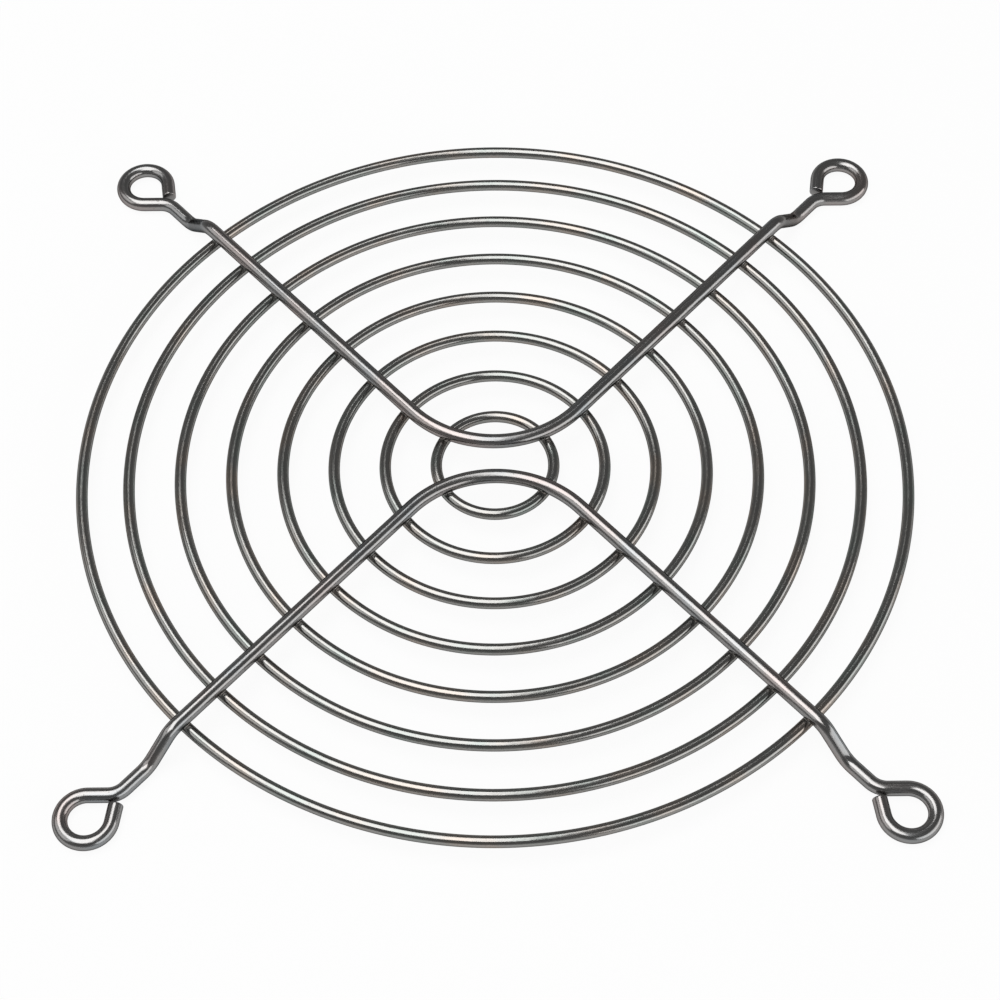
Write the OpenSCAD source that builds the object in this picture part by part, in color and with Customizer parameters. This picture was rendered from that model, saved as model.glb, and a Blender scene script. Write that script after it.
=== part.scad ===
// Wire fan guard: round wire rings held by two bent support wires that cross over
// them, with a screw eye at each end of both support wires.
// The guard lies flat on its four screw eyes. The origin is on the floor under the
// middle of the rings, with +Z up, and lengths are in millimetres.

/* [Fan] */
// Distance between neighbouring screw eyes, from middle to middle
hole_spacing = 105; // [70:0.5:140]
// Clear hole in each screw eye
eye_hole_d = 4.7; // [4.2:0.1:5.4]

/* [Rings] */
// Clear distance from the middle of each screw eye to the largest ring
eye_to_rim = 16.35; // [15:0.05:20]
// Diameter of the smallest ring, to the middle of its wire
small_ring_d = 16.3; // [14:0.1:20]
// Distance from each ring to the next, from wire middle to wire middle, up to the last
// gap, which takes what is left
ring_pitch = 7.08; // [6:0.02:9]
// Thickness of the ring wire
ring_wire_d = 1.6; // [1.2:0.1:2]

/* [Support wires] */
// Thickness of the support wire
support_wire_d = 2; // [1.6:0.1:2.4]
// Clear distance between the two support wires at the middle of the guard
centre_gap = 3.8; // [2:0.1:6]
// Radius of the bend at the middle of each support wire, to the middle of the wire
centre_bend_r = 15.5; // [10:0.5:20]

/* [Steps down to the screw eyes] */
// How far the screw eyes lie below the rest of the support wire
step_drop = 3.6; // [3:0.1:4.6]
// Slope of the step
step_slope = 38; // [34:1:56]
// Radius of the two bends of the step, to the middle of the wire
step_bend_r = 3.5; // [2:0.1:4.2]
// Clear distance, seen from above, from the largest ring to the start of the step
step_clearance = 0.1; // [0:0.1:1]

/* [Screw eyes] */
// Distance from the corner of the leg to the middle of the screw eye, along X
eye_lead = 3.8; // [3.4:0.1:5]
// Radius of the bend at that corner, to the middle of the wire
eye_bend_r = 3; // [2:0.1:3.4]
// How far the wire wraps round the screw
eye_wrap = 262; // [245:1:285]
// Clear distance from the cut end of the wire to the straight that it closes on
end_clearance = 0.2; // [0.1:0.05:0.5]

/* [Welds] */
// How far a ring and a support wire sink into each other where they are welded
weld_sink = 0.25; // [0.1:0.05:0.5]

/* [Hidden] */
// The largest ring reaches out towards the screw eyes, and there are as many rings
// inside it as come closest to filling the guard
guard_d = hole_spacing * sqrt(2) - 2 * eye_to_rim;
rim_r = (guard_d - ring_wire_d) / 2;
ring_count = round((rim_r - small_ring_d / 2) / ring_pitch) + 1;
$fn = 64;

nickel = [0.72, 0.71, 0.69];

// Heights of the wires' middles above the floor
eye_z = support_wire_d / 2;
leg_z = eye_z + step_drop;
ring_z = leg_z - (support_wire_d + ring_wire_d) / 2 + weld_sink;

// Radius of a ring, to the middle of its wire: ring 1 is the smallest
function ring_r(number) =
    number < ring_count
        ? small_ring_d / 2 + ring_pitch * (number - 1)
        : rim_r;

// The leg is straight in plan from the bend at the middle of the guard to the corner
// before the eye. Both are taken in the quarter where x and y are positive.
apex_y = (centre_gap + support_wire_d) / 2;
eye_r = (eye_hole_d + support_wire_d) / 2;
corner_x = hole_spacing / 2 - eye_lead;
corner_y = hole_spacing / 2 - eye_r;
bend_middle_to_corner = [corner_x, corner_y - apex_y - centre_bend_r];
leg_length = sqrt(norm(bend_middle_to_corner) ^ 2 - centre_bend_r ^ 2);
leg_angle = atan2(bend_middle_to_corner.y, bend_middle_to_corner.x)
    + asin(centre_bend_r / norm(bend_middle_to_corner));

// The step starts where the leg has passed over the largest ring
leg_to_middle = corner_x * sin(leg_angle) - corner_y * cos(leg_angle);
corner_along_leg = corner_x * cos(leg_angle) + corner_y * sin(leg_angle);
step_from_middle = guard_d / 2 + step_clearance;
step_to_corner = corner_along_leg - sqrt(step_from_middle ^ 2 - leg_to_middle ^ 2);

// A bend down, a slope and a bend back to level make up the step
slope_length = (step_drop - 2 * step_bend_r * (1 - cos(step_slope))) / sin(step_slope);
step_run = slope_length * cos(step_slope) + 2 * step_bend_r * sin(step_slope);

// The bend at the corner takes as much off the leg as off the straight after it
corner_cut = eye_bend_r * tan(leg_angle / 2);

// The wire ends where the nearer edge of its cut end almost meets that straight
function tail_to(edge_r) =
    (eye_hole_d / 2 - edge_r * cos(eye_wrap) - end_clearance) / -sin(eye_wrap);
tail_length = min(tail_to(eye_hole_d / 2), tail_to(eye_hole_d / 2 + support_wire_d));

// A ball this much thicker than the wire joins each bend to what follows it
seam_cover = 0.004;

// Ways to bend the wire, as turns about the wire itself
left = 0;
up = 90;
right = 180;
down = 270;

// The left leg of a support wire, as a wire bender makes it from the centre bend to
// the cut end: each row is a straight length, then the angle, radius and way of the
// bend after it
leg_bends = [
    [leg_length - step_to_corner, step_slope, step_bend_r, down],
    [slope_length, step_slope, step_bend_r, up],
    [step_to_corner - step_run - corner_cut, leg_angle, eye_bend_r, right],
    [eye_lead - corner_cut, eye_wrap, eye_r, left],
    [tail_length, 0, 0, left]
];

// The same way for the right leg, which bends to the other hand
function other_hand(way) = 180 - way;

// Part of a ring of wire, lying flat round the origin and starting at +X
module wire_arc(angle, arc_r, wire_d) {
    rotate_extrude(angle = angle)
        translate([arc_r, 0])
            circle(d = wire_d);
}

// The wire from one row of a table of bends to the last, starting along +X. The left
// leg of a support wire turns to the hand that its table says.
module bent_wire(table, is_left, row = 0) {
    straight = table[row][0];
    angle = table[row][1];
    bend_r = table[row][2];
    way = is_left ? table[row][3] : other_hand(table[row][3]);
    sphere(d = support_wire_d + seam_cover);
    rotate([0, 90, 0])
        cylinder(d = support_wire_d, h = straight);
    if (angle > 0)
        translate([straight, 0, 0])
            rotate([way, 0, 0])
                translate([0, bend_r, 0]) {
                    rotate([0, 0, -90])
                        wire_arc(angle, bend_r, support_wire_d);
                    rotate([0, 0, angle])
                        translate([0, -bend_r, 0])
                            rotate([-way, 0, 0])
                                bent_wire(table, is_left, row + 1);
                }
}

// Both legs go on from the ends of the centre bend
module wire_before_welding() {
    translate([0, -apex_y - centre_bend_r, leg_z]) {
        rotate([0, 0, 90 - leg_angle])
            wire_arc(2 * leg_angle, centre_bend_r, support_wire_d);
        for (is_left = [false, true])
            rotate([0, 0, is_left ? leg_angle : -leg_angle])
                translate([0, centre_bend_r, 0])
                    rotate([0, 0, is_left ? 180 : 0])
                        bent_wire(leg_bends, is_left);
    }
}

module ring(number) {
    color(nickel)
        translate([0, 0, ring_z])
            wire_arc(360, ring_r(number), ring_wire_d);
}

// Each ring has a seat in the support wire, as deep as the weld has sunk
module front_support_wire() {
    color(nickel)
        difference() {
            wire_before_welding();
            for (number = [1:ring_count])
                ring(number);
        }
}

module rear_support_wire() {
    rotate([0, 0, 180])
        front_support_wire();
}

for (number = [1:ring_count])
    ring(number);
front_support_wire();
rear_support_wire();
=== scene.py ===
"""Looks of the wire fan guard: plated rings, bent support wires and their welds.

Lengths are in metres, in the frame of the CAD part: the floor is z = 0, the middle of
the rings is x = y = 0, and the rings lie flat. The angles listed at the top and for the
camera are in degrees, and those that functions take and give are in radians, apart from
the rings' starts.
"""

import math
from typing import NamedTuple

import bpy
import numpy as np
from mathutils import Matrix, Vector


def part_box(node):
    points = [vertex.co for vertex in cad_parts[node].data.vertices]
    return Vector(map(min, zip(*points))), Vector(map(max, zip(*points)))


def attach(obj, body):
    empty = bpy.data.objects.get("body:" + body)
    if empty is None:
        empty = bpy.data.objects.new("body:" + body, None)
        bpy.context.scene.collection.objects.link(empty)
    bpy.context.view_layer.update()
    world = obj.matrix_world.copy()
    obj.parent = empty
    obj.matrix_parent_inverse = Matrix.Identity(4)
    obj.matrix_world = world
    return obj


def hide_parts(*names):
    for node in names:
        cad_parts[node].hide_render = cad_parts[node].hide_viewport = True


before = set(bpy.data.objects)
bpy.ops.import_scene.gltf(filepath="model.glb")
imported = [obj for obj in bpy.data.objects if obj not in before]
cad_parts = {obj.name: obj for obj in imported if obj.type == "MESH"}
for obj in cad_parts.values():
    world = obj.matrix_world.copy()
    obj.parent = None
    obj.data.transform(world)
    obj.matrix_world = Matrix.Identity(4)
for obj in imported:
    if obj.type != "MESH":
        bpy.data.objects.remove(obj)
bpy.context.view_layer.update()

MM = 0.001
UP = np.array([0.0, 0.0, 1.0])
BACKWARDS = slice(None, None, -1)
RING_COUNT = 8

# The support wire's sizes, as the wire bender is set
SUPPORT_WIRE_R = 1.0 * MM
HOLE_SPACING = 105.0 * MM
EYE_HOLE_D = 4.7 * MM
CENTRE_GAP = 3.8 * MM
CENTRE_BEND_R = 15.5 * MM
STEP_DROP = 3.6 * MM
STEP_SLOPE = 38.0
STEP_BEND_R = 3.5 * MM
STEP_CLEARANCE = 0.1 * MM
EYE_LEAD = 3.8 * MM
EYE_BEND_R = 3.0 * MM
EYE_WRAP = 262.0
END_CLEARANCE = 0.2 * MM

# How closely the wires' surfaces are drawn: the longest distance between stations along
# the wire, the largest turn between them in a bend, and the steps round each wire
STATION_GAP = 0.35 * MM
BEND_STEP = 4.0
RING_STEPS = 40
SUPPORT_STEPS = 48

# Stations of a wire that are closer together than this are the same one
SAME_STATION = 0.001 * MM

# The rounded edge of a cut end and the angles of its stations, and the shares of the
# wire's radius at which the flat face inside it has its own
CUT_EDGE_R = 0.16 * MM
CUT_EDGE_ANGLES = (0.0, 20.0, 45.0, 70.0, 90.0)
CUT_FACE_SHARES = (0.7, 0.02)

# Weld metal fills the space between two wires where they are about this close, and
# never further out than the largest reach. The gap that it fills varies in two waves
# round it and in three, its face is hollow by a share of its reach, and its ends close,
# by shares of its reach too, a little way inside the wires.
WELD_GAP = 0.4 * MM
WELD_LARGEST_REACH = 1.6 * MM
WELD_WAVES = (0.08, 0.07)
WELD_HOLLOW = 0.16
WELD_CLOSING = (0.03, 0.6)
WELD_SINK = 0.05 * MM
WELD_STEPS = 40
WELD_LEVELS = 7
WELD_HALVINGS = 24

# A crossing is looked for in this many steps round a ring, and is where the middle lines
# pass within this of each other in plan
CROSSING_STEPS = 7200
CROSSING_OFFSET = 0.1 * MM


# ---------------------------------------------------------------- meshes

class Path(NamedTuple):
    """Stations along a wire: their middles, two directions square to the wire and to
    each other, the distance along the wire, and the wire's radius."""

    centres: np.ndarray
    sides: np.ndarray
    ups: np.ndarray
    along: np.ndarray
    radii: np.ndarray

    def part(self, chosen):
        """The path's chosen stations, in the order chosen."""
        return Path(*(values[chosen] for values in self))


class Grid(NamedTuple):
    """Points of a surface: points[i, j] is at station i and step j round it, and
    surface[i, j] is the same point on the straight wire before bending, with one more
    station than points. wraps says whether the last station joins the first. Ends that
    don't join are closed by a flat face."""

    points: np.ndarray
    surface: np.ndarray
    wraps: bool = False


def joined(paths):
    """One path from paths that follow each other."""
    return Path(*(np.concatenate(values) for values in zip(*paths)))


def grid_faces(stations, steps, wraps):
    """Quads between neighbouring stations and steps, turned outwards, as pairs of
    (station, step) numbers that run on past the last one where the grid wraps."""
    rows = np.arange(stations if wraps else stations - 1)[:, None]
    columns = np.arange(steps)[None, :]
    station = np.stack([rows + ahead + 0 * columns for ahead in (0, 0, 1, 1)], -1)
    step = np.stack([columns + ahead + 0 * rows for ahead in (0, 1, 1, 0)], -1)
    return station.reshape(-1, 4), step.reshape(-1, 4)


def make_piece(name, grids, material, replaced=()):
    """One object from grids, riding on the part's body, in place of the CAD nodes that
    are named."""
    all_points, quads, ends, surface_of = [], [], [], []
    first = 0
    for points, surface, wraps in grids:
        stations, steps, _ = points.shape
        station, step = grid_faces(stations, steps, wraps)
        quads.append(first + (station % stations) * steps + step % steps)
        surface_of.append(surface[station, step % steps].reshape(-1, 3))
        if not wraps:
            around = np.arange(steps)
            ends.append((first + around[::-1], surface[0, around[::-1]]))
            last = stations - 1
            ends.append((first + last * steps + around, surface[last, around]))
        all_points.append(points.reshape(-1, 3))
        first += stations * steps
    faces = [face for part in quads for face in part.tolist()]
    faces += [around.tolist() for around, _ in ends]
    surface_of += [values for _, values in ends]
    mesh = bpy.data.meshes.new(name)
    mesh.from_pydata(np.concatenate(all_points).tolist(), [], faces)
    mesh.polygons.foreach_set("use_smooth", np.ones(len(faces), bool))
    straight = mesh.attributes.new("straight_wire", "FLOAT_VECTOR", "CORNER")
    straight.data.foreach_set("vector", np.concatenate(surface_of).astype(np.float32).ravel())
    mesh.materials.append(material)
    mesh.update()
    piece = bpy.data.objects.new(name, mesh)
    bpy.context.scene.collection.objects.link(piece)
    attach(piece, "root")
    if replaced:
        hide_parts(*replaced)


def wire_grid(path, steps, length=None):
    """A circle of the station's radius carried along the path: the point at angle a is
    centre + radius * (cos a * side + sin a * up). A wire whose end joins its start has
    its length given."""
    wraps = length is not None
    angle = np.linspace(0, 2 * np.pi, steps, endpoint=False)[None, :, None]
    radii = path.radii[:, None, None]
    across = np.cos(angle) * path.sides[:, None] + np.sin(angle) * path.ups[:, None]
    points = path.centres[:, None] + radii * across
    radii = np.concatenate([radii, radii[:1] if wraps else radii[-1:]])
    along = np.append(path.along, length if wraps else path.along[-1])
    surface = np.concatenate(
        [
            radii * np.cos(angle),
            radii * np.sin(angle),
            np.broadcast_to(along[:, None, None], (len(along), steps, 1)),
        ],
        -1,
    )
    return Grid(points, surface, wraps)


# ---------------------------------------------------------------- rings

class Ring:
    """A ring's middle radius, wire radius and height, from its CAD node's box."""

    def __init__(self, number):
        self.name = f"ring_{number}"
        low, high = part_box(self.name)
        self.wire_r = (high.z - low.z) / 2
        self.z = (high.z + low.z) / 2
        self.r = (high.x - low.x) / 2 - self.wire_r


rings = [Ring(number) for number in range(1, RING_COUNT + 1)]


def ring_grid(ring, start_angle):
    """The ring's wire: a circle carried round a circle from the start angle and back."""
    length = 2 * np.pi * ring.r
    stations = int(math.ceil(length / STATION_GAP))
    turn = np.radians(start_angle) + np.linspace(0, 2 * np.pi, stations, endpoint=False)
    outward = np.stack([np.cos(turn), np.sin(turn), 0 * turn], 1)
    path = Path(
        centres=ring.r * outward + ring.z * UP,
        sides=-outward,
        ups=np.tile(UP, (stations, 1)),
        along=np.linspace(0, length, stations, endpoint=False),
        radii=np.full(stations, ring.wire_r),
    )
    return wire_grid(path, RING_STEPS, length)


# ---------------------------------------------------------------- support wires

def leg_layout():
    """How far the centre bend's crest lies from the X axis, the leg's angle in plan, and
    the leg's table of bends. The leg touches the centre bend and the bend at the corner
    before the eye, and its step starts where it has passed over the largest ring."""
    eye_r = EYE_HOLE_D / 2 + SUPPORT_WIRE_R
    apex_y = CENTRE_GAP / 2 + SUPPORT_WIRE_R
    corner_x = HOLE_SPACING / 2 - EYE_LEAD
    corner_y = HOLE_SPACING / 2 - eye_r
    rise = corner_y - apex_y - CENTRE_BEND_R
    reach = math.hypot(corner_x, rise)
    leg_length = math.sqrt(reach**2 - CENTRE_BEND_R**2)
    leg_angle = math.atan2(rise, corner_x) + math.asin(CENTRE_BEND_R / reach)
    sine, cosine = math.sin(leg_angle), math.cos(leg_angle)
    off_middle = corner_x * sine - corner_y * cosine
    rim_r = rings[-1].r + rings[-1].wire_r + STEP_CLEARANCE
    step_to_corner = (
        corner_x * cosine + corner_y * sine - math.sqrt(rim_r**2 - off_middle**2)
    )
    slope = math.radians(STEP_SLOPE)
    slope_length = (STEP_DROP - 2 * STEP_BEND_R * (1 - math.cos(slope))) / math.sin(slope)
    step_run = slope_length * math.cos(slope) + 2 * STEP_BEND_R * math.sin(slope)
    corner_cut = EYE_BEND_R * math.tan(leg_angle / 2)
    wrap = math.radians(EYE_WRAP)
    tail = (EYE_HOLE_D / 2 * (1 - math.cos(wrap)) - END_CLEARANCE) / -math.sin(wrap)
    bends = [
        (leg_length - step_to_corner, slope, STEP_BEND_R, "down"),
        (slope_length, slope, STEP_BEND_R, "up"),
        (step_to_corner - step_run - corner_cut, leg_angle, EYE_BEND_R, "right"),
        (EYE_LEAD - corner_cut, wrap, eye_r, "left"),
        (tail, 0.0, 0.0, "left"),
    ]
    return apex_y, leg_angle, bends


# Each row of the bends is a straight length, then the angle, radius and way of a bend
APEX_Y, LEG_ANGLE, LEG_BENDS = leg_layout()
LEG_Z = SUPPORT_WIRE_R + STEP_DROP
WAYS = {"left": (1, 0), "up": (0, 1), "right": (-1, 0), "down": (0, -1)}


def spaced(length, gap):
    """Distances from 0 to length, both included, at most gap apart."""
    return np.linspace(0, length, max(2, int(math.ceil(length / gap)) + 1))


def turned(vector, axis, angle):
    """The vector turned about a unit axis by each angle: the part along the axis stays,
    and the rest goes round by cosine and sine."""
    angle = np.atleast_1d(angle)[:, None]
    return (
        vector * np.cos(angle)
        + np.cross(axis, vector) * np.sin(angle)
        + axis * np.dot(axis, vector) * (1 - np.cos(angle))
    )


def bent_leg(start, heading, side, hand):
    """The path of a leg from the end of the centre bend to the cut end: straights, and
    arcs that each turn the heading about an axis square to it. hand is 1 for a leg whose
    left is as the table says, and -1 for the other leg."""
    up = UP
    point, along = start, 0.0
    parts = []
    for straight, angle, bend_r, way in LEG_BENDS:
        step = spaced(straight, STATION_GAP)
        ones = np.ones((len(step), 1))
        parts.append(
            Path(
                centres=point + step[:, None] * heading,
                sides=ones * side,
                ups=ones * up,
                along=along + step,
                radii=np.full(len(step), SUPPORT_WIRE_R),
            )
        )
        point = point + straight * heading
        along += straight
        if angle == 0:
            continue
        sideways, upwards = WAYS[way]
        inward = hand * sideways * side + upwards * up
        axis = np.cross(heading, inward)
        turn = spaced(angle, min(STATION_GAP / bend_r, math.radians(BEND_STEP)))
        middle = point + bend_r * inward
        parts.append(
            Path(
                centres=middle - bend_r * turned(inward, axis, turn),
                sides=turned(side, axis, turn),
                ups=turned(up, axis, turn),
                along=along + bend_r * turn,
                radii=np.full(len(turn), SUPPORT_WIRE_R),
            )
        )
        point = parts[-1].centres[-1]
        heading, side, up = (turned(v, axis, angle)[0] for v in (heading, side, up))
        along += bend_r * angle
    return joined(parts)


def support_path():
    """The front support wire from its right cut end, over the centre bend, to its left
    cut end, with each station once."""
    middle = np.array([0, -APEX_Y - CENTRE_BEND_R, LEG_Z])
    turn = spaced(2 * LEG_ANGLE, STATION_GAP / CENTRE_BEND_R) - LEG_ANGLE
    outward = np.stack([-np.sin(turn), np.cos(turn), 0 * turn], 1)
    bend = Path(
        centres=middle + CENTRE_BEND_R * outward,
        sides=-outward,
        ups=np.tile(UP, (len(turn), 1)),
        along=CENTRE_BEND_R * turn,
        radii=np.full(len(turn), SUPPORT_WIRE_R),
    )

    def leg(end, hand):
        side = hand * bend.sides[end]
        return bent_leg(bend.centres[end], np.cross(side, UP), side, hand)

    right, left = leg(end=0, hand=-1), leg(end=-1, hand=1)
    half = CENTRE_BEND_R * LEG_ANGLE
    right = right._replace(sides=-right.sides, along=-half - right.along)
    left = left._replace(along=half + left.along)
    whole = joined([right.part(BACKWARDS), bend.part(slice(1, -1)), left])
    gaps = np.linalg.norm(np.diff(whole.centres, axis=0), axis=1)
    return whole.part(np.append(True, gaps > SAME_STATION))


def with_cut_ends(path):
    """The same path with the stations of its two cut ends added: a flat face whose edge
    is rounded off by a quarter circle, at inset edge_r * (1 - sin a) and radius
    wire_r - edge_r * (1 - cos a)."""
    quarter = np.radians(CUT_EDGE_ANGLES)
    inset = CUT_EDGE_R * (1 - np.sin(quarter))
    radii = SUPPORT_WIRE_R - CUT_EDGE_R * (1 - np.cos(quarter))
    inset = np.append(inset, np.zeros(len(CUT_FACE_SHARES)))[::-1]
    radii = np.append(radii, SUPPORT_WIRE_R * np.array(CUT_FACE_SHARES))[::-1]
    ones = np.ones((len(inset), 1))

    def cut_end(end, inner, sign):
        inward = path.centres[inner] - path.centres[end]
        inward = inward / np.linalg.norm(inward)
        return Path(
            centres=path.centres[end] + inset[:, None] * inward,
            sides=ones * path.sides[end],
            ups=ones * path.ups[end],
            along=path.along[end] + sign * inset,
            radii=radii,
        )

    first = cut_end(end=0, inner=1, sign=1)
    last = cut_end(end=-1, inner=-2, sign=-1)
    return joined([first, path.part(slice(1, -1)), last.part(BACKWARDS)])


def seated(points):
    """The points of a support wire, with those that lie inside a ring's wire pushed
    straight out to its surface: this is the seat of the weld."""
    for ring in rings:
        plan_r = np.hypot(points[..., 0], points[..., 1])
        outward = points * [1, 1, 0] / plan_r[..., None]
        core = ring.r * outward + ring.z * UP
        away = points - core
        distance = np.linalg.norm(away, axis=-1, keepdims=True)
        out = core + away / distance * ring.wire_r
        points = np.where(distance < ring.wire_r, out, points)
    return points


def half_turn(points):
    """The same points turned half a turn about the guard's middle."""
    return points * [-1, -1, 1]


# ---------------------------------------------------------------- welds

def support_offset(x, y):
    """Distance in plan from the front support wire's middle line: from the arc of the
    centre bend within its angle, and from the straight leg outside it."""
    x = np.abs(x)
    from_middle = y + APEX_Y + CENTRE_BEND_R
    arc = np.abs(np.hypot(x, from_middle) - CENTRE_BEND_R)
    sine, cosine = math.sin(LEG_ANGLE), math.cos(LEG_ANGLE)
    leg = np.abs(x * sine + from_middle * cosine - CENTRE_BEND_R)
    return np.where(np.arctan2(x, from_middle) < LEG_ANGLE, arc, leg)


def weld_gap(x, y, ring):
    """Height between the support wire's underside and the ring's top at plan points,
    with the heights of both: each is its middle's height less or plus
    sqrt(wire_r^2 - offset^2)."""
    under = LEG_Z - np.sqrt(np.maximum(SUPPORT_WIRE_R**2 - support_offset(x, y) ** 2, 0))
    offset = np.hypot(x, y) - ring.r
    top = ring.z + np.sqrt(np.maximum(ring.wire_r**2 - offset**2, 0))
    return under - top, under, top


def weld_places(ring):
    """Plan points where the ring's middle line passes under the front support wire."""
    turn = np.linspace(-np.pi, np.pi, CROSSING_STEPS + 1)
    offset = support_offset(ring.r * np.cos(turn), ring.r * np.sin(turn))
    lowest = (offset < np.roll(offset, 1)) & (offset <= np.roll(offset, -1))
    found = turn[lowest & (offset < CROSSING_OFFSET)]
    return np.stack([ring.r * np.cos(found), ring.r * np.sin(found)], 1)


def weld_grid(ring, place, random):
    """The metal that a weld squeezes out. In each direction it reaches as far as the
    wires are less than gap * (1 + two cos(2a + p) + three cos(3a + q)) apart, found by
    halving, and its face is hollow between them, by the sine of the height. The top and
    bottom close inside the two wires."""
    turn = np.linspace(0, 2 * np.pi, WELD_STEPS, endpoint=False)
    phase = random.uniform(0, 2 * np.pi, 2)
    two, three = WELD_WAVES
    waves = two * np.cos(2 * turn + phase[0]) + three * np.cos(3 * turn + phase[1])
    wanted = WELD_GAP * (1 + waves)
    low, high = np.zeros(WELD_STEPS), np.full(WELD_STEPS, WELD_LARGEST_REACH)
    for _ in range(WELD_HALVINGS):
        reach = (low + high) / 2
        x, y = place[0] + reach * np.cos(turn), place[1] + reach * np.sin(turn)
        gap, _, _ = weld_gap(x, y, ring)
        low, high = np.where(gap < wanted, reach, low), np.where(gap < wanted, high, reach)
    _, under, top = weld_gap(x, y, ring)
    levels = np.linspace(0, 1, WELD_LEVELS)
    hollow = 1 - WELD_HOLLOW * np.sin(np.pi * levels)
    shares = np.concatenate([WELD_CLOSING, hollow, WELD_CLOSING[::-1]])[:, None]
    heights = top + (under - top) * levels[:, None]
    heights[0] -= WELD_SINK
    heights[-1] += WELD_SINK
    ends = len(WELD_CLOSING)
    heights = np.concatenate([heights[:1]] * ends + [heights] + [heights[-1:]] * ends)
    points = np.stack(
        [
            place[0] + shares * reach * np.cos(turn),
            place[1] + shares * reach * np.sin(turn),
            heights,
        ],
        -1,
    )
    return Grid(points, surface=np.concatenate([points, points[-1:]]))


# ---------------------------------------------------------------- materials

def new_node(nodes, kind, **settings):
    """A node of that kind with its properties set from the settings. The setting inputs
    is a table from the name of an input to its value."""
    node = nodes.new(kind)
    for name, value in settings.pop("inputs", {}).items():
        node.inputs[name].default_value = value
    for name, value in settings.items():
        setattr(node, name, value)
    return node


# The plating's noise patterns per metre, across the wire and along it
LINE_SCALE = (7000.0, 160.0)
RIPPLE_SCALE = (900.0, 420.0)
TINT_SCALE = (260.0, 110.0)
SPECK_SCALE = (2600.0, 2600.0)

# Values of the noise, which stays near 0.5, from which an effect starts and at which it
# is full
DULL_LINES = (0.35, 0.7)
WARM_PATCHES = (0.5, 0.66)
COOL_PATCHES = (0.46, 0.32)
SPECKS = (0.68, 0.76)

# How much lines and specks dull the plating, and how specks darken it
LINE_DULLNESS = 0.7
SPECK_DULLNESS = 0.6
SPECK_COLOUR = (0.55, 0.53, 0.5, 1.0)


def plated_wire_group():
    """Bright plating on drawn wire: faint lines along the wire, a slow ripple in the
    plating, small tint changes, and small dull specks. Straight Wire is the place on the
    wire before it was bent, with its third part along the wire. Height is in
    millimetres."""
    group = bpy.data.node_groups.new("bright_plating", "ShaderNodeTree")
    for name, kind in (
        ("Straight Wire", "NodeSocketVector"),
        ("Plating", "NodeSocketColor"),
        ("Warm Tint", "NodeSocketColor"),
        ("Cool Tint", "NodeSocketColor"),
        ("Smooth", "NodeSocketFloat"),
        ("Dull", "NodeSocketFloat"),
        ("Line Depth", "NodeSocketFloat"),
        ("Ripple Depth", "NodeSocketFloat"),
    ):
        group.interface.new_socket(name, in_out="INPUT", socket_type=kind)
    for name, kind in (
        ("Colour", "NodeSocketColor"),
        ("Roughness", "NodeSocketFloat"),
        ("Height", "NodeSocketFloat"),
    ):
        group.interface.new_socket(name, in_out="OUTPUT", socket_type=kind)
    nodes, link = group.nodes, group.links.new
    given = new_node(nodes, "NodeGroupInput")
    out = new_node(nodes, "NodeGroupOutput")

    def noise(scale, detail, rough=0.55):
        across, along = scale
        place = new_node(nodes, "ShaderNodeVectorMath", operation="MULTIPLY")
        place.inputs[1].default_value = (across, across, along)
        link(given.outputs["Straight Wire"], place.inputs[0])
        node = new_node(
            nodes,
            "ShaderNodeTexNoise",
            inputs={"Scale": 1.0, "Detail": detail, "Roughness": rough},
        )
        link(place.outputs[0], node.inputs["Vector"])
        return node.outputs["Fac"]

    def spread(value, limits, full=1.0):
        start, end = limits
        node = new_node(
            nodes,
            "ShaderNodeMapRange",
            inputs={"From Min": start, "From Max": end, "To Min": 0.0, "To Max": full},
        )
        link(value, node.inputs["Value"])
        return node.outputs["Result"]

    def math_node(operation, a, b):
        node = new_node(nodes, "ShaderNodeMath", operation=operation)
        for k, value in enumerate((a, b)):
            if isinstance(value, float):
                node.inputs[k].default_value = value
            else:
                link(value, node.inputs[k])
        return node.outputs[0]

    def mixed(factor, a, b):
        node = new_node(nodes, "ShaderNodeMix", data_type="RGBA")
        link(factor, node.inputs["Factor"])
        link(a, node.inputs["A"])
        link(b, node.inputs["B"])
        return node.outputs["Result"]

    lines = noise(LINE_SCALE, detail=3.0)
    ripple = noise(RIPPLE_SCALE, detail=2.0)
    tint = noise(TINT_SCALE, detail=2.0)
    specks = spread(noise(SPECK_SCALE, detail=2.0, rough=0.7), SPECKS)

    plain, warm = given.outputs["Plating"], given.outputs["Warm Tint"]
    tinted = mixed(spread(tint, WARM_PATCHES), plain, warm)
    tinted = mixed(spread(tint, COOL_PATCHES), tinted, given.outputs["Cool Tint"])
    darker = new_node(nodes, "ShaderNodeMix", data_type="RGBA", blend_type="MULTIPLY")
    darker.inputs["B"].default_value = SPECK_COLOUR
    link(specks, darker.inputs["Factor"])
    link(tinted, darker.inputs["A"])
    link(darker.outputs["Result"], out.inputs["Colour"])

    dulled = math_node(
        "ADD",
        spread(lines, DULL_LINES, LINE_DULLNESS),
        math_node("MULTIPLY", specks, SPECK_DULLNESS),
    )
    roughness = new_node(nodes, "ShaderNodeMapRange")
    link(dulled, roughness.inputs["Value"])
    link(given.outputs["Smooth"], roughness.inputs["To Min"])
    link(given.outputs["Dull"], roughness.inputs["To Max"])
    link(roughness.outputs["Result"], out.inputs["Roughness"])

    height = math_node(
        "ADD",
        math_node("MULTIPLY", lines, given.outputs["Line Depth"]),
        math_node("MULTIPLY", ripple, given.outputs["Ripple Depth"]),
    )
    link(height, out.inputs["Height"])
    return group


plating = plated_wire_group()

# Seen at a slant, the plating is darker than seen straight on
EDGE_TINT = (0.15, 0.15, 0.15, 1.0)


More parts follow.
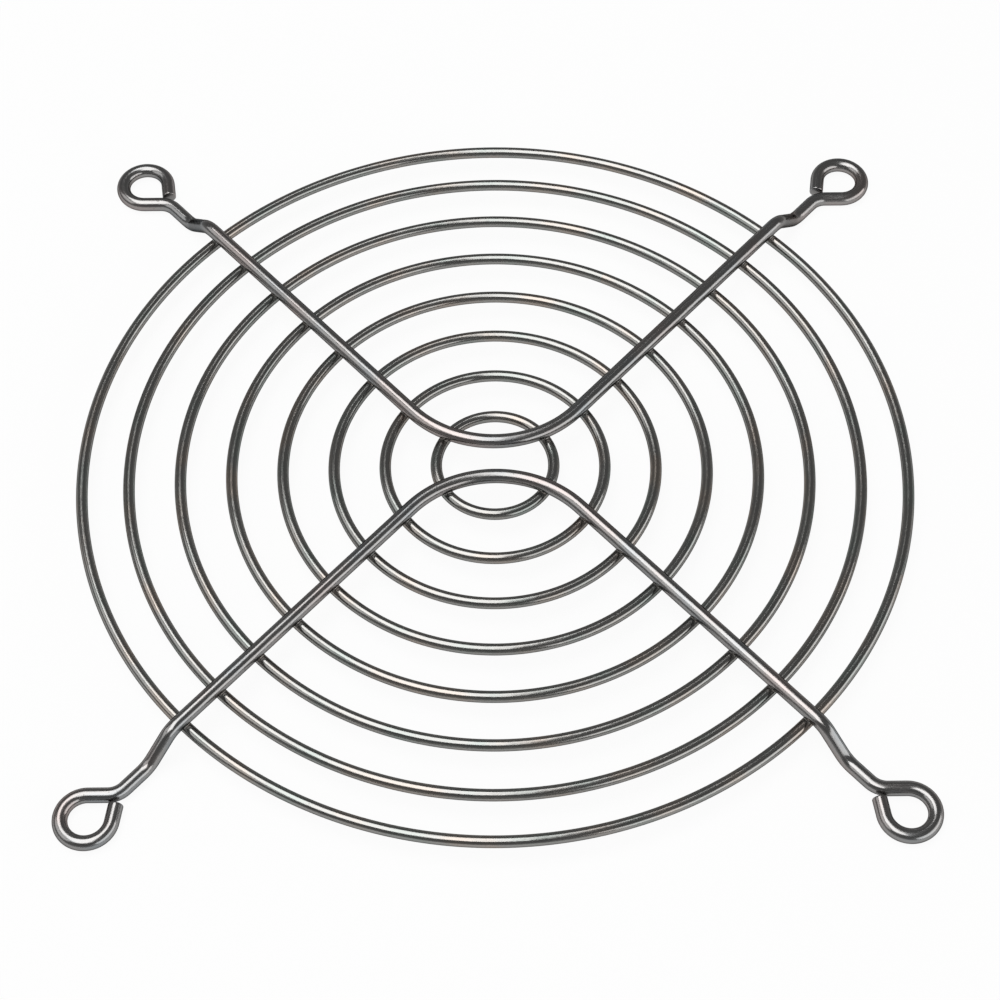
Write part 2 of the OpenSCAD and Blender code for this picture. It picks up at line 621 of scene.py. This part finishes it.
def plated_material(name, plain, warm, cool, smooth, dull, line_depth, ripple_depth):
    """A plated metal with its own values of the shared plating group."""
    material = bpy.data.materials.new(name)
    material.use_nodes = True
    nodes, link = material.node_tree.nodes, material.node_tree.links.new
    nodes.clear()
    surface = new_node(nodes, "ShaderNodeAttribute", attribute_name="straight_wire")
    finish = new_node(nodes, "ShaderNodeGroup", node_tree=plating)
    for socket, value in (
        ("Plating", plain),
        ("Warm Tint", warm),
        ("Cool Tint", cool),
        ("Smooth", smooth),
        ("Dull", dull),
        ("Line Depth", line_depth),
        ("Ripple Depth", ripple_depth),
    ):
        finish.inputs[socket].default_value = value
    link(surface.outputs["Vector"], finish.inputs["Straight Wire"])
    bump = new_node(nodes, "ShaderNodeBump", inputs={"Strength": 1.0, "Distance": MM})
    link(finish.outputs["Height"], bump.inputs["Height"])
    metal = new_node(nodes, "ShaderNodeBsdfPrincipled", inputs={"Metallic": 1.0})
    metal.inputs["Specular Tint"].default_value = EDGE_TINT
    link(finish.outputs["Colour"], metal.inputs["Base Color"])
    link(finish.outputs["Roughness"], metal.inputs["Roughness"])
    link(bump.outputs["Normal"], metal.inputs["Normal"])
    out = new_node(nodes, "ShaderNodeOutputMaterial")
    link(metal.outputs["BSDF"], out.inputs["Surface"])
    return material


ring_plating = plated_material(
    "plated_ring_wire",
    plain=(0.278, 0.275, 0.265, 1.0),
    warm=(0.32, 0.284, 0.255, 1.0),
    cool=(0.245, 0.266, 0.253, 1.0),
    smooth=0.13,
    dull=0.3,
    line_depth=0.0025,
    ripple_depth=0.02,
)
support_plating = plated_material(
    "plated_support_wire",
    plain=(0.277, 0.272, 0.268, 1.0),
    warm=(0.31, 0.277, 0.268, 1.0),
    cool=(0.25, 0.262, 0.27, 1.0),
    smooth=0.15,
    dull=0.34,
    line_depth=0.0025,
    ripple_depth=0.02,
)
weld_plating = plated_material(
    "plated_weld",
    plain=(0.24, 0.235, 0.225, 1.0),
    warm=(0.33, 0.29, 0.26, 1.0),
    cool=(0.21, 0.225, 0.22, 1.0),
    smooth=0.22,
    dull=0.42,
    line_depth=0.004,
    ripple_depth=0.05,
)


# ---------------------------------------------------------------- the guard

# Where each ring's length of wire starts and ends, in degrees: the pattern on the wire
# starts afresh there
RING_STARTS = (205.0, 31.0, 158.0, 287.0, 64.0, 236.0, 118.0, 341.0)

for ring, start in zip(rings, RING_STARTS):
    make_piece(
        "plated_" + ring.name,
        [ring_grid(ring, start)],
        ring_plating,
        [ring.name],
    )

front = wire_grid(with_cut_ends(support_path()), SUPPORT_STEPS)
front = front._replace(points=seated(front.points))
rear = front._replace(points=half_turn(front.points))
weld_random = np.random.default_rng(7)
for where, grid in (("front", front), ("rear", rear)):
    make_piece(
        f"plated_{where}_support_wire",
        [grid],
        support_plating,
        [f"{where}_support_wire"],
    )
    welds = []
    for ring in rings:
        for place in weld_places(ring):
            bead = weld_grid(ring, place, weld_random)
            if where == "rear":
                bead = Grid(half_turn(bead.points), half_turn(bead.surface))
            welds.append(bead)
    make_piece(f"{where}_weld_beads", welds, weld_plating)


# ---------------------------------------------------------------- floor, light, camera

FLOOR_SIZE = 6.0
PAPER_COLOUR = (0.9, 0.9, 0.9, 1.0)
WHITE = (1.0, 1.0, 1.0, 1.0)

# Share of the paper that is plain white to the camera, and to rays that metal or glass
# sends on
WHITE_TO_CAMERA = 0.93
WHITE_TO_METAL = 0.5

# The wall's brightness at the floor's edge and higher up, and the height from which it
# stays the same, as the Z of a direction of length 1
WALL_AT_FLOOR = 0.34
WALL_ABOVE = 0.17
WALL_EVEN_FROM = 0.5


def seen_white(nodes, link):
    """How much of the paper is plain white to a ray: nearly all for the camera's own
    rays, and part of it for rays that metal or glass sends on, so that metal shows the
    white paper with the guard's shadow on it."""
    path = new_node(nodes, "ShaderNodeLightPath")
    shares = []
    for ray, share in (
        ("Is Camera Ray", WHITE_TO_CAMERA),
        ("Is Glossy Ray", WHITE_TO_METAL),
        ("Is Transmission Ray", WHITE_TO_METAL),
    ):
        part = new_node(nodes, "ShaderNodeMath", operation="MULTIPLY")
        part.inputs[1].default_value = share
        link(path.outputs[ray], part.inputs[0])
        shares.append(part.outputs[0])
    white = shares[0]
    for share in shares[1:]:
        largest = new_node(nodes, "ShaderNodeMath", operation="MAXIMUM")
        link(white, largest.inputs[0])
        link(share, largest.inputs[1])
        white = largest.outputs[0]
    return white


def paper_floor():
    """A flat white sheet of paper, with a faint shadow under the guard. It isn't there
    for a camera below it, which sees the guard's underside."""
    half = FLOOR_SIZE / 2
    mesh = bpy.data.meshes.new("paper_floor")
    mesh.from_pydata(
        [(-half, -half, 0), (half, -half, 0), (half, half, 0), (-half, half, 0)],
        [],
        [(0, 1, 2, 3)],
    )
    material = bpy.data.materials.new("white_paper")
    material.use_nodes = True
    nodes, link = material.node_tree.nodes, material.node_tree.links.new
    nodes.clear()
    paper = new_node(nodes, "ShaderNodeBsdfDiffuse")
    paper.inputs["Color"].default_value = PAPER_COLOUR
    white = new_node(nodes, "ShaderNodeEmission")
    white.inputs["Color"].default_value = WHITE
    mix = new_node(nodes, "ShaderNodeMixShader")
    link(seen_white(nodes, link), mix.inputs[0])
    link(paper.outputs[0], mix.inputs[1])
    link(white.outputs[0], mix.inputs[2])
    geometry = new_node(nodes, "ShaderNodeNewGeometry")
    clear = new_node(nodes, "ShaderNodeBsdfTransparent")
    one_way = new_node(nodes, "ShaderNodeMixShader")
    link(geometry.outputs["Backfacing"], one_way.inputs[0])
    link(mix.outputs[0], one_way.inputs[1])
    link(clear.outputs[0], one_way.inputs[2])
    out = new_node(nodes, "ShaderNodeOutputMaterial")
    link(one_way.outputs[0], out.inputs["Surface"])
    mesh.materials.append(material)
    floor = bpy.data.objects.new("paper_floor", mesh)
    bpy.context.scene.collection.objects.link(floor)


paper_floor()


def studio_world():
    """The room round the guard: a wall, dim and lighter towards the floor, by the height
    of the direction."""
    world = bpy.data.worlds.new("studio")
    bpy.context.scene.world = world
    world.use_nodes = True
    nodes, link = world.node_tree.nodes, world.node_tree.links.new
    nodes.clear()
    direction = new_node(nodes, "ShaderNodeTexCoord")
    parts = new_node(nodes, "ShaderNodeSeparateXYZ")
    link(direction.outputs["Generated"], parts.inputs[0])
    brightness = new_node(
        nodes,
        "ShaderNodeMapRange",
        interpolation_type="SMOOTHSTEP",
        inputs={
            "From Min": 0.0,
            "From Max": WALL_EVEN_FROM,
            "To Min": WALL_AT_FLOOR,
            "To Max": WALL_ABOVE,
        },
    )
    link(parts.outputs["Z"], brightness.inputs["Value"])
    room = new_node(nodes, "ShaderNodeBackground")
    room.inputs["Color"].default_value = WHITE
    link(brightness.outputs["Result"], room.inputs["Strength"])
    out = new_node(nodes, "ShaderNodeOutputWorld")
    link(room.outputs[0], out.inputs["Surface"])


studio_world()


def soft_light(name, place, aim, size, radiance):
    """A rectangular soft light that faces the aim. Its power is radiance * pi * area, so
    that it looks that bright, and the camera doesn't see it."""
    lamp = bpy.data.lights.new(name, "AREA")
    lamp.shape = "RECTANGLE"
    lamp.size, lamp.size_y = size
    lamp.energy = radiance * math.pi * size[0] * size[1]
    light = bpy.data.objects.new(name, lamp)
    bpy.context.scene.collection.objects.link(light)
    turn = (Vector(aim) - Vector(place)).to_track_quat("-Z", "Y").to_matrix().to_4x4()
    light.matrix_world = Matrix.Translation(place) @ turn
    light.visible_camera = False


# The overhead light shows along the tops of the wires, and the others show on the sides
# that face them
soft_light(
    "overhead_light",
    place=(-0.23, 0.02, 0.9),
    aim=(-0.23, 0.02, 0.0),
    size=(0.58, 1.0),
    radiance=3.3,
)
soft_light(
    "right_light",
    place=(0.85, -0.45, 0.36),
    aim=(0.0, 0.0, 0.0),
    size=(1.6, 0.55),
    radiance=1.8,
)
soft_light(
    "left_light",
    place=(-0.76, -0.06, 0.62),
    aim=(0.0, 0.0, 0.0),
    size=(0.85, 0.5),
    radiance=1.1,
)

CAMERA_TARGET = Vector((0.64, -5.84, 3.05)) * MM
CAMERA_DISTANCE = 327.7 * MM
CAMERA_ELEVATION = 56.93
CAMERA_TURN = -0.17
CAMERA_ROLL = -0.34

# In millimetres, as a camera's lens and sensor are given
CAMERA_LENS = 85.86
CAMERA_SENSOR = 36.0

camera_data = bpy.data.cameras.new("camera")
camera_data.lens = CAMERA_LENS
camera_data.sensor_width = CAMERA_SENSOR
camera_data.clip_start = 0.01
camera = bpy.data.objects.new("camera", camera_data)
bpy.context.scene.collection.objects.link(camera)
bpy.context.scene.camera = camera
camera.matrix_world = (
    Matrix.Translation(CAMERA_TARGET)
    @ Matrix.Rotation(math.radians(CAMERA_TURN), 4, "Z")
    @ Matrix.Rotation(math.radians(90 - CAMERA_ELEVATION), 4, "X")
    @ Matrix.Rotation(math.radians(CAMERA_ROLL), 4, "Z")
    @ Matrix.Translation((0, 0, CAMERA_DISTANCE))
)

bpy.context.scene.view_settings.view_transform = "Standard"
